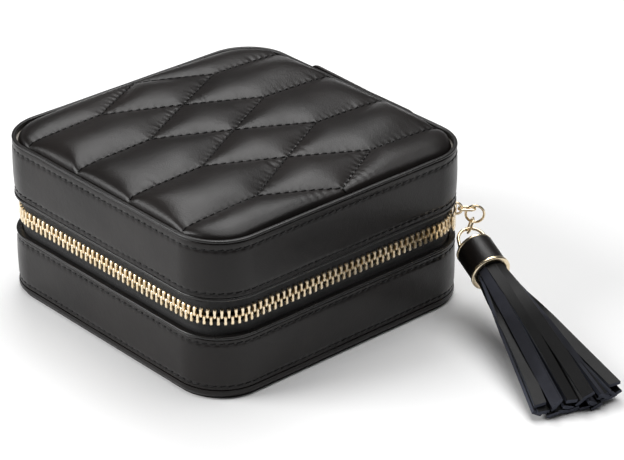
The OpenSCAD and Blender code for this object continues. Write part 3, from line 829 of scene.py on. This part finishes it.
def makeQuiltStitches():
    middles, along, outward = [], [], []
    for a, b in quiltSeams():
        length = np.hypot(*(b - a))
        count = max(1, int(round(length / padShape["stitchPitch"])))
        t = (np.arange(count) + 0.5) / count
        spot = a + (b - a) * t[:, None]
        step = stitchShape["quiltProbe"]
        ahead = (b - a) / length
        z0, z, z1 = (padHeight(spot[:, 0] + ahead[0] * move, spot[:, 1] + ahead[1] * move)
                     for move in (-step, 0.0, step))
        direction = np.column_stack([np.broadcast_to(ahead, spot.shape) * 2 * step, z1 - z0])
        direction /= np.linalg.norm(direction, axis=1, keepdims=True)
        up = np.cross(direction, np.cross((0, 0, 1.0), direction))
        middles.append(np.column_stack([spot, z + stitchShape["quiltLift"]]))
        along.append(direction)
        outward.append(up / np.linalg.norm(up, axis=1, keepdims=True))
    stitchPiece("quiltStitches", np.concatenate(middles), np.concatenate(along), np.concatenate(outward), "lid",
                length=stitchShape["quiltLength"])


makePad()
makeQuiltStitches()
print("quilted pad ready")


# hinge panel, one leather strip over both halves of the hinge

panelShape = {"halfWidth": 25.0, "cornerRadius": 3.0, "border": 2.2, "dip": 1.1, "dipSpan": 28, "channel": 0.3,
              "channelWidth": 0.6, "edgeRound": 0.45, "edgeWidth": 0.25, "swell": 0.12, "rimTuck": 0.25,
              "stitchPitch": 2.6, "stitchSink": 0.18}
panelLow = boxMm("hinge_panel_lower")
panelHigh = boxMm("hinge_panel_upper")
bendBetween = ("base", "lid", (0, panelHigh[1][1] * mm, baseEdgeHigh[2] * mm),
               (0, panelHigh[1][1] * mm, lidEdgeLow[2] * mm))


def makeHingePanel():
    # outer face = flat - a sewn channel near the edge: exp(-(distance / width) squared)
    # - a rounded edge: exp(-distance / width), + a slow sine swell; the top edge sags by the dip
    z = np.linspace(panelLow[0][2], panelHigh[1][2], 170)
    middle, half = (z[0] + z[-1]) / 2, (z[-1] - z[0]) / 2
    radius = panelShape["cornerRadius"]
    over = np.clip(np.abs(z - middle) - (half - radius), 0, radius)
    reach = panelShape["halfWidth"] - radius + np.sqrt(np.clip(radius ** 2 - over ** 2, 0, None))
    share = np.concatenate([[-1, -0.993, -0.98], np.linspace(-0.96, 0.96, 61), [0.98, 0.993, 1]])
    x = share[:, None] * reach[None, :]
    dip = panelShape["dip"] * np.clip((x + panelShape["halfWidth"]) / panelShape["dipSpan"], 0, 1)
    zz = z[None, :] - dip * np.clip((z[None, :] - middle) / half, 0, 1) ** 6
    edge = np.minimum(reach[None, :] - np.abs(x), half - np.abs(zz - middle))
    channel = panelShape["channel"] * np.exp(-((edge - panelShape["border"]) / panelShape["channelWidth"]) ** 2)
    channel = channel + panelShape["edgeRound"] * np.exp(-edge / panelShape["edgeWidth"])
    swell = panelShape["swell"] * np.sin(x / 6) * np.cos(zz / 7)
    outerY = panelHigh[1][1] - channel + swell
    innerY = np.full(x.shape, panelHigh[0][1] + 0.02)
    innerY += np.where(edge < 0.01, panelShape["rimTuck"], 0.0)
    piece = closedSheet("hingePanel", np.stack([x, outerY, zz], -1), np.stack([x, innerY, zz], -1), leather,
                        50)
    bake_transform(piece)
    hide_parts("hinge_panel_lower", "hinge_panel_upper")
    y = panelHigh[1][1] - panelShape["stitchSink"]
    inner = panelShape["halfWidth"] - panelShape["border"]
    zs = np.arange(z[0] + 3.4, z[-1] - 3, panelShape["stitchPitch"])
    xs = np.arange(-inner + 1.4, inner - 1, panelShape["stitchPitch"])
    places = [np.column_stack([np.full(len(zs), side * inner), np.full(len(zs), y), zs]) for side in (-1, 1)]
    places += [np.column_stack([xs, np.full(len(xs), y), np.full(len(xs), level)])
               for level in (z[0] + panelShape["border"], z[-1] - panelShape["border"])]
    directions = [np.tile((0, 0, 1.0), (len(zs), 1))] * 2 + [np.tile((1.0, 0, 0), (len(xs), 1))] * 2
    middles = np.concatenate(places)
    stitchPiece("hingeStitches", middles, np.concatenate(directions), np.tile((0, 1.0, 0), (len(middles), 1)),
                None, bendBetween)


makeHingePanel()
print("hinge panel ready")


# zip tapes and teeth

zipShape = {"endX": 27.0, "pitch": 2.3, "toothInset": toothFace + 1.3, "toothHalfThick": 1.3, "toothHeight": 3.1,
            "meshIn": 0.45, "apart": 0.5, "parting": 4.0, "tapeEnd": 1.4, "cord": 0.35, "cordWidth": 0.9,
            "ripple": 0.05, "tapeSink": 0.1, "tapeInner": 0.62}
zipMiddle = (baseEdgeHigh[2] + lidEdgeLow[2]) / 2
sliderDistance = (outlineLength - caseShape["halfWidth"] + caseShape["cornerRadius"]
                  - math.pi * caseShape["cornerRadius"] / 4)


def makeTapePiece(name, node, low, high, body):
    # a thin woven strip; inset = the tape's own - a cord by the teeth: exp(-(distance / width) squared)
    # + sine ripples along and across; u and v are its own measure, in centimetres
    end = zipShape["endX"] - zipShape["tapeEnd"]
    s = np.linspace(end, outlineLength - end, 620)
    z = np.linspace(low, high, 26)
    tip = high if body == "base" else low
    cord = zipShape["cord"] * np.exp(-((z - tip) / zipShape["cordWidth"]) ** 2)
    ripple = zipShape["ripple"] * np.sin(s / 3.1)[:, None] * np.sin((z - low) / 3)[None, :]
    outer = wallGrid(s, tapeInset + zipShape["tapeSink"] - cord[None, :] + ripple, z[None, :])
    inner = wallGrid(s, tapeInset + zipShape["tapeInner"] + 0.6 * cord[None, ::-1] + ripple[:, ::-1],
                     z[None, ::-1])
    grid = np.concatenate([outer, inner], 1)
    uv = np.stack([np.broadcast_to(s[:, None] * 0.1, grid.shape[:2]),
                   np.broadcast_to(np.concatenate([z, z[::-1]])[None, :] * 0.1, grid.shape[:2])], -1)
    piece = gridPiece(name, grid, wovenTape, False, True, capAcross=True, uv=uv)
    return setRiding(piece, body, (node,))


def toothShape():
    # an outline with a root, a neck and a rounded head, carried through the tape's thickness
    h = zipShape["toothHeight"]
    right = np.array([(0.34, 0.0), (0.5, 0.22), (0.52, 0.95), (0.4, 1.4), (0.4, 1.8), (0.47, 2.15),
                      (0.43, h - 0.3), (0.2, h)])
    outline = np.concatenate([right, right[::-1] * (-1, 1)])
    centre = np.array([0, h / 2])
    depth = np.array([-1.0, -0.82, 0.82, 1.0]) * zipShape["toothHalfThick"]
    shrink = np.array([0.8, 1.0, 1.0, 0.8])
    rings = centre + (outline[None] - centre) * shrink[:, None, None]
    n = len(outline)
    shape = np.stack([rings[..., 0], np.broadcast_to(depth[:, None], (4, n)), rings[..., 1]], -1)
    return shape.reshape(-1, 3), closedFaces(4, n)


def makeTeeth(name, node, upper, body):
    start, end = zipShape["endX"], outlineLength - zipShape["endX"]
    count = int((end - start) / zipShape["pitch"])
    s = start + (np.arange(count) + (0.75 if upper else 0.25)) * (end - start) / count
    place, outward, along = axesAt(s)
    # past the slider the rows part over a short way: 3 t squared - 2 t cubed
    spread = np.clip((s - sliderDistance) / zipShape["parting"], 0, 1)
    spread = spread * spread * (3 - 2 * spread)
    away = -zipShape["meshIn"] + spread * (zipShape["meshIn"] + zipShape["apart"])
    way = 1 if upper else -1
    root = zipMiddle + way * (zipShape["toothHeight"] + away)
    middles = np.column_stack([place - zipShape["toothInset"] * outward[:, :2], root])
    upAxis = np.tile((0, 0, -float(way)), (count, 1))
    shape, faces = toothShape()
    points, faces = repeatShape(shape, faces, middles, np.stack([along, outward, upAxis], 1))
    piece = meshPiece(name, points, faces, toothGold, None, 35)
    return setRiding(piece, body, (node,))


lowerTape, upperTape = boxMm("lower_zip_tape"), boxMm("upper_zip_tape")
makeTapePiece("lowerTape", "lower_zip_tape", lowerTape[0][2], lowerTape[1][2], "base")
makeTapePiece("upperTape", "upper_zip_tape", upperTape[0][2], upperTape[1][2], "lid")
makeTeeth("lowerTeeth", "lower_zip_teeth", False, "base")
makeTeeth("upperTeeth", "upper_zip_teeth", True, "lid")
print("zip ready")


# slider, link and rings

cornerMiddle = np.array([caseShape["halfWidth"] - caseShape["cornerRadius"],
                         caseShape["halfDepth"] - caseShape["cornerRadius"], 0.0])
toRing = math.sqrt(0.5)
outDirection = np.array([toRing, toRing, 0.0])
alongDirection = np.array([toRing, -toRing, 0.0])
upDirection = np.array([0, 0, 1.0])
toothRadius = caseShape["cornerRadius"] - zipShape["toothInset"]
sliderShape = {"halfLength": 4.5, "halfHeight": 3.9, "plate": 0.9, "outerInner": toothRadius + 1.7,
               "innerInner": toothRadius - 2.6, "crownRadius": 2.0, "crownRise": 3.0,
               "crownSink": 0.2, "wire": 0.42, "postWidth": 1.2, "postHeight": 0.28, "bossHeight": 2.4}
linkShape = {"half": 1.1, "straight": 3.0, "wire": 0.4}
ringShape = {"large": 2.9, "small": 2.5, "tilt": 20, "wire": 0.42, "smallWire": 0.4}
crownZ = zipMiddle + sliderShape["crownRise"]
crownReach = (sliderShape["outerInner"] + sliderShape["plate"] - sliderShape["crownSink"]
              + sliderShape["crownRadius"])


def spanned(origin, *terms):
    # origin + each amount times its own direction
    total = origin
    for amount, way in terms:
        total = total + np.multiply.outer(np.asarray(amount, float), way)
    return total


def atCorner(out, along, height):
    return spanned(cornerMiddle, (out, outDirection), (along, alongDirection), (height, upDirection))


def bentPlate(radius, thickness, halfLength, halfHeight, power):
    # a soft block bent round the corner: angle = along / radius
    block = softBlock((-halfLength, 0, -halfHeight), (halfLength, thickness, halfHeight), power, 64, 40)
    taper = 1 - 0.18 * (block[..., 0] / halfLength * 0.5 + 0.5)
    angle = block[..., 0] / radius
    r = radius + block[..., 1]
    return atCorner(r * np.cos(angle), r * np.sin(angle), zipMiddle + block[..., 2] * taper)


def joinPieces(name, pieces):
    # one object out of several meshes
    for other in bpy.context.selected_objects:
        other.select_set(False)
    for piece in pieces:
        piece.select_set(True)
    bpy.context.view_layer.objects.active = pieces[0]
    bpy.ops.object.join()
    pieces[0].name = name
    return pieces[0]


def makeSlider():
    shape = sliderShape
    pieces = []
    for name, radius, share in [("sliderOuter", shape["outerInner"], 1),
                                ("sliderInner", shape["innerInner"], 0.8)]:
        plate = bentPlate(radius, shape["plate"], shape["halfLength"] * share, shape["halfHeight"], 0.35)
        pieces.append(gridPiece(name, plate, gold, True, capDown=True))
    for name, near, far, tall, level in [
            ("sliderPost", shape["innerInner"] + 0.7, shape["outerInner"] + 0.2, shape["postHeight"], zipMiddle),
            ("sliderBoss", shape["outerInner"] + 0.2, shape["outerInner"] + 1.0, shape["bossHeight"], crownZ)]:
        block = softBlock((near, -shape["postWidth"], -tall), (far, shape["postWidth"], tall), 0.4, 32, 16)
        pieces.append(gridPiece(name, atCorner(block[..., 0], block[..., 1], level + block[..., 2]), gold, True,
                                capDown=True))
    turn = np.linspace(-math.pi / 2, math.pi / 2, 30)
    foot = shape["outerInner"] + shape["plate"] - shape["crownSink"]
    path = atCorner(foot + shape["crownRadius"] * np.cos(turn), 0 * turn,
                    crownZ + shape["crownRadius"] * np.sin(turn))
    pieces.append(gridPiece("sliderCrown", tubeGrid(path, shape["wire"], alongDirection), gold, False, True,
                            capAcross=True))
    return setRiding(joinPieces("zipSlider", pieces), "slider", ("zip_slider",))


def ringPiece(name, middle, radius, axisA, axisB, body, node, wire):
    turn = fullTurn(64)
    path = middle + radius * (np.cos(turn)[:, None] * axisA + np.sin(turn)[:, None] * axisB)
    piece = gridPiece(name, tubeGrid(path, wire, np.cross(axisA, axisB), 16, True), gold, True, True)
    return setRiding(piece, body, (node,))


def nodeMiddle(node):
    low, high = boxMm(node)
    return (low + high) / 2


def makeLink():
    half, straight, n = linkShape["half"], linkShape["straight"], 24
    turn = np.linspace(math.pi / 2, 3 * math.pi / 2, n)
    left = np.column_stack([half * np.cos(turn), half * np.sin(turn)])
    turn = np.linspace(-math.pi / 2, math.pi / 2, n)
    right = np.column_stack([straight + half * np.cos(turn), half * np.sin(turn)])
    loop = np.concatenate([left, right])
    path = atCorner(crownReach + loop[:, 0], loop[:, 1], np.full(len(loop), crownZ))
    piece = gridPiece("pullLink", tubeGrid(path, linkShape["wire"], upDirection, 16, True), gold, True, True)
    return setRiding(piece, "link", ("pull_link",))


makeSlider()
makeLink()
largeMiddle, smallMiddle = nodeMiddle("large_ring"), nodeMiddle("small_ring")
ringTilt = math.radians(ringShape["tilt"])
smallUp = math.cos(ringTilt) * upDirection + math.sin(ringTilt) * outDirection
ringPiece("largeRing", largeMiddle, ringShape["large"], outDirection, upDirection, "large_ring_body",
          "large_ring", ringShape["wire"])
ringPiece("smallRing", smallMiddle, ringShape["small"], alongDirection, smallUp, "small_ring_body",
          "small_ring", ringShape["smallWire"])
print("slider and rings ready")


# tassel

tasselShape = {"heading": -17.8, "length": 72.5, "cap": 6.1, "disc": 6.0, "discThick": 1.0, "capLength": 10.2,
               "collar": 6.5, "collarLength": 1.4, "fanHalf": 14.9, "stripWidth": 3.9, "stripThick": 1.3,
               "bailHeading": -33.0, "bailSlope": 25.0, "bailLength": 7.8, "bailArch": 4.3, "bailWire": 0.55,
               "capThick": 1.2, "lapTurn": 3.9, "lapRise": 0.035, "lapFade": 0.5, "clear": 0.04}
tasselHinge = [j for j in frame["joints"] if j["name"] == "tassel_swing"][0]
bailTop = np.array(tasselHinge["pos_m"]) / mm


def levelAcross(heading):
    h = math.radians(heading)
    return np.array([-math.sin(h), math.cos(h), 0.0])


def directionOf(heading, slope):
    h, e = math.radians(heading), math.radians(slope)
    return np.array([math.cos(e) * math.cos(h), math.cos(e) * math.sin(h), -math.sin(e)])


bailDirection = directionOf(tasselShape["bailHeading"], tasselShape["bailSlope"])
discMiddle = bailTop + tasselShape["bailLength"] * bailDirection
tasselSlope = math.degrees(math.asin((discMiddle[2] - 3.0) / tasselShape["length"]))
downTassel = directionOf(tasselShape["heading"], tasselSlope)
acrossTassel = levelAcross(tasselShape["heading"])
aboveTassel = np.cross(downTassel, acrossTassel)


def inTassel(across, above, down):
    return spanned(discMiddle, (across, acrossTassel), (above, aboveTassel), (down, downTassel))


def makeBail():
    # an arch from leg to leg; the legs run on to the disc
    arch, length = tasselShape["bailArch"], tasselShape["bailLength"]
    level = levelAcross(tasselShape["bailHeading"])
    turn = np.linspace(math.pi, 0, 40)
    legs = np.linspace(length + 0.9, arch, 8)[:-1]
    side = np.concatenate([np.full(7, -arch), arch * np.cos(turn), np.full(7, arch)])
    down = np.concatenate([legs, arch - arch * np.sin(turn), legs[::-1]])
    path = spanned(bailTop, (side, level), (down, bailDirection))
    wire = tubeGrid(path, tasselShape["bailWire"], np.cross(level, bailDirection), 16)
    piece = gridPiece("tasselBail", wire, gold, False, True, capAcross=True)
    return setRiding(piece, "tassel", ("tassel_bail",))


def roundedLathe(name, inner, outer, start, end, radius, node, bulge=0.0):
    # a thick ring or disc: a rounded rectangle turned round the tassel's own line
    profile = beadProfile(inner, outer, start, end, radius, 7)
    t = (profile[:, 1] - start) / (end - start)
    profile[:, 0] += np.where(profile[:, 0] > (inner + outer) / 2, bulge * np.sin(math.pi * t), 0)
    if inner > 0:
        grid = latheGrid(profile, discMiddle, downTassel)
        piece = gridPiece(name, grid, gold, True, True)
    else:
        half = profile[profile[:, 0] > outer * 0.5]
        half = half[np.argsort(-half[:, 1])]
        half = np.concatenate([[[0.4, half[0, 1]]], half, [[0.4, half[-1, 1]]]])
        piece = gridPiece(name, latheGrid(half, discMiddle, downTassel), gold, True, capDown=True)
    return setRiding(piece, "tassel", (node,))


def makeCap():
    # a sleeve with one lapped seam: radius * (1 + lapRise * exp(-turn past the lap / lapFade))
    start, end = tasselShape["discThick"], tasselShape["discThick"] + tasselShape["capLength"]
    profile = beadProfile(tasselShape["cap"] - tasselShape["capThick"], tasselShape["cap"], start, end, 0.3, 7)
    grid = latheGrid(profile, discMiddle, downTassel, 120)
    axisPoint = discMiddle + np.multiply.outer(profile[:, 1], downTassel)
    away = grid - axisPoint[None]
    turn = fullTurn(120)
    past = np.mod(turn - tasselShape["lapTurn"], 2 * math.pi)
    lap = 1 + tasselShape["lapRise"] * np.exp(-past / tasselShape["lapFade"])
    grid = axisPoint[None] + away * lap[:, None, None]
    piece = gridPiece("tasselCap", grid, leather, True, True)
    return setRiding(piece, "tassel", ("tassel_cap",))


def stripGrid(start, startAngle, end, endAngle, length, sag, curl):
    # a flat strip: its middle line eases from the collar to its end, while its width turns from one angle
    # to another, and curl adds a slow bend sideways
    t = np.linspace(0, 1, 34)
    ease = t ** 1.18
    line = np.outer(1 - ease, start) + np.outer(ease, end)
    line[:, 0] += curl * np.sin(math.pi * t) * t
    line[:, 1] += sag * np.sin(math.pi * t)
    neck = tasselShape["discThick"] + tasselShape["capLength"] + tasselShape["collarLength"] - 0.8
    down = neck + (length - neck) * t
    turn = startAngle + (endAngle - startAngle) * np.clip(t * 2.2, 0, 1) ** 0.7
    side = np.column_stack([np.cos(turn), np.sin(turn)])
    normal = np.column_stack([-side[:, 1], side[:, 0]])
    w, h = tasselShape["stripWidth"] / 2, tasselShape["stripThick"] / 2
    corner = np.array([(-w, -h * 0.75), (-w + 0.1, -h), (w - 0.1, -h), (w, -h * 0.75),
                       (w, h * 0.75), (w - 0.1, h), (-w + 0.1, h), (-w, h * 0.75)])
    narrow = 0.8 + 0.2 * np.clip(t * 5, 0, 1)[:, None]
    across, lift = (line[:, k, None] + corner[None, :, 0] * narrow * side[:, k, None]
                    + corner[None, :, 1] * normal[:, k, None] for k in (0, 1))
    grid = inTassel(across, lift, np.broadcast_to(down[:, None], across.shape))
    # the lowest strips flatten where they meet the table
    grid[..., 2] = np.maximum(grid[..., 2], tasselShape["clear"] + 0.02 * lift.clip(0, 5))
    return grid


def makeStrips():
    # three layers: upper strips lie over the middle ones, and the lower ones rest on the table
    layers = [
        {"count": 6, "level": 2.1, "roll": 0.62, "short": 0.9, "reach": 0.96, "sag": 1.5},
        {"count": 7, "level": 0.1, "roll": 0.75, "short": 0.4, "reach": 0.9, "sag": 0.4},
        {"count": 8, "level": -1.8, "roll": 0.3, "short": 0.0, "reach": 1.0, "sag": -0.2},
    ]
    grids = []
    fan = tasselShape["fanHalf"] - tasselShape["stripWidth"] * 0.45
    for order, layer in enumerate(layers):
        for k, a in enumerate(np.linspace(-1, 1, layer["count"])):
            under = order == 2
            around = (math.pi / 2 - a * 1.45) * (-1 if under else 1)
            radius = 4.0 if order != 1 else 2.6
            start = radius * np.array([math.cos(around), math.sin(around)])
            startAngle = (around + math.pi / 2) if under else (around - math.pi / 2)
            wobble = rng.uniform(-1, 1, 4)
            endAngle = (a * 0.3 if under else -a * 0.42) + layer["roll"] * (1 if k % 2 else -0.55)
            endAngle += 0.12 * wobble[0]
            level = layer["level"] * (1 - 0.3 * abs(a)) + (0.7 if k % 2 else -0.5) * (order < 2)
            level += 0.25 * wobble[1]
            end = np.array([fan * a * layer["reach"] + 0.5 * wobble[2], level])
            length = tasselShape["length"] + 0.6 - layer["short"] + 0.9 * wobble[3] - 1.6 * abs(a) ** 3
            grids.append(stripGrid(start, startAngle, end, endAngle, length, layer["sag"] * (1 - abs(a)),
                                   0.7 * wobble[2]))
    pieces = [gridPiece("strip%02d" % k, g, stripLeather, False, True, capAcross=True, sharpAngle=25)
              for k, g in enumerate(grids)]
    for k, piece in enumerate(pieces):
        piece.data.materials.append(cutEdge)
        piece.data.materials.append(fleshSide)
        count = len(piece.data.polygons)
        side = np.arange(count)
        kind = ((side % 8 == 3) | (side % 8 == 7) | (side >= count - 2)).astype(np.int32)
        # one wide face of each strip is its rough flesh side; every third strip shows it upwards
        kind[(side % 8 == (5 if k % 3 == 1 else 1)) & (side < count - 2)] = 2
        piece.data.polygons.foreach_set("material_index", kind)
    piece = joinPieces("tasselStrips", pieces)
    return setRiding(piece, "tassel", ("tassel_strips",))


makeBail()
roundedLathe("tasselDisc", 0, tasselShape["disc"] + 0.15, 0, tasselShape["discThick"], 0.35, "tassel_top_disc")
makeCap()
collarStart = tasselShape["discThick"] + tasselShape["capLength"]
roundedLathe("tasselCollar", tasselShape["cap"] - tasselShape["capThick"], tasselShape["collar"], collarStart,
             collarStart + tasselShape["collarLength"], 0.5, "tassel_collar", 0.1)
makeStrips()
print("tassel ready")


# inside: ring rolls, dividers, linings and mirror

roomInset = tapeInset + 1.5  # the tape and the lining lie inside the boards
roomShape = {"half": caseShape["halfWidth"] - roomInset, "cornerRadius": caseShape["cornerRadius"] - roomInset}


def makeRoll(name, node):
    # a stuffed roll: cosine and sine raised to a power across, its size falling by an exponential at the
    # ends, cut to the lining's corners, with small sine creases
    low, high = boxMm(node)
    middle, halfWide = (low[1] + high[1]) / 2, (high[1] - low[1]) / 2 - 0.15
    turn = fullTurn(40)
    bend = lambda v, p: np.sign(v) * np.abs(v) ** p
    across = bend(np.cos(turn), 0.75)
    up = bend(np.sin(turn), 0.7)
    share = np.sin(np.linspace(-1, 1, 90) * math.pi / 2)
    share = 0.5 * share + 0.5 * np.linspace(-1, 1, 90)
    pinch = np.clip(1 - np.abs(share), 0, 1)
    size = (1 - np.exp(-pinch * 22)) ** 0.45 * 0.995 + 0.005
    y = middle + halfWide * across[None, :] * size[:, None]
    zMiddle, zHalf = (low[2] + high[2]) / 2, (high[2] - low[2]) / 2
    z = zMiddle + zHalf * up[None, :] * size[:, None]
    reach = np.minimum(rowReach(y, roomShape["half"], roomShape["cornerRadius"]) - 0.7, high[0])
    x = share[:, None] * reach
    z = z + 0.12 * np.sin(x / 2.6) * np.exp(-np.abs(z - zMiddle) / 3)
    piece = gridPiece(name, np.stack([x, y, z], -1), rollSuede, False, True, capAcross=True)
    return setRiding(piece, "base", (node,))


for letter in "ABCD":
    makeRoll("roll" + letter, "ring_roll_" + letter.lower())
for name, node in [("longDivider", "long_divider"), ("crossDivider", "cross_divider")]:
    low, high = boxMm(node)
    piece = gridPiece(name, softBlock(low, high, 0.12, 96, 40), suede, True, capDown=True)
    setRiding(piece, "base", (node,))

cadFinish = {
    "base_bottom_cover": leather, "base_floor_board": board, "base_wall_board": board, "lid_wall_board": board,
    "lid_top_board": board, "base_lining_wall": suede, "base_lining_floor": suede, "lid_lining_wall": suede,
    "lid_lining_top": suede, "mirror_glass": mirrorGlass, "mirror_frame": leather, "lower_zip_stops": gold,
    "upper_zip_stops": gold, "tassel_core": stripLeather,
}
for node, material in cadFinish.items():
    mesh = frame["nodes"][node].data
    mesh.materials.clear()
    mesh.materials.append(material)
print("inside ready")

bpy.context.view_layer.update()
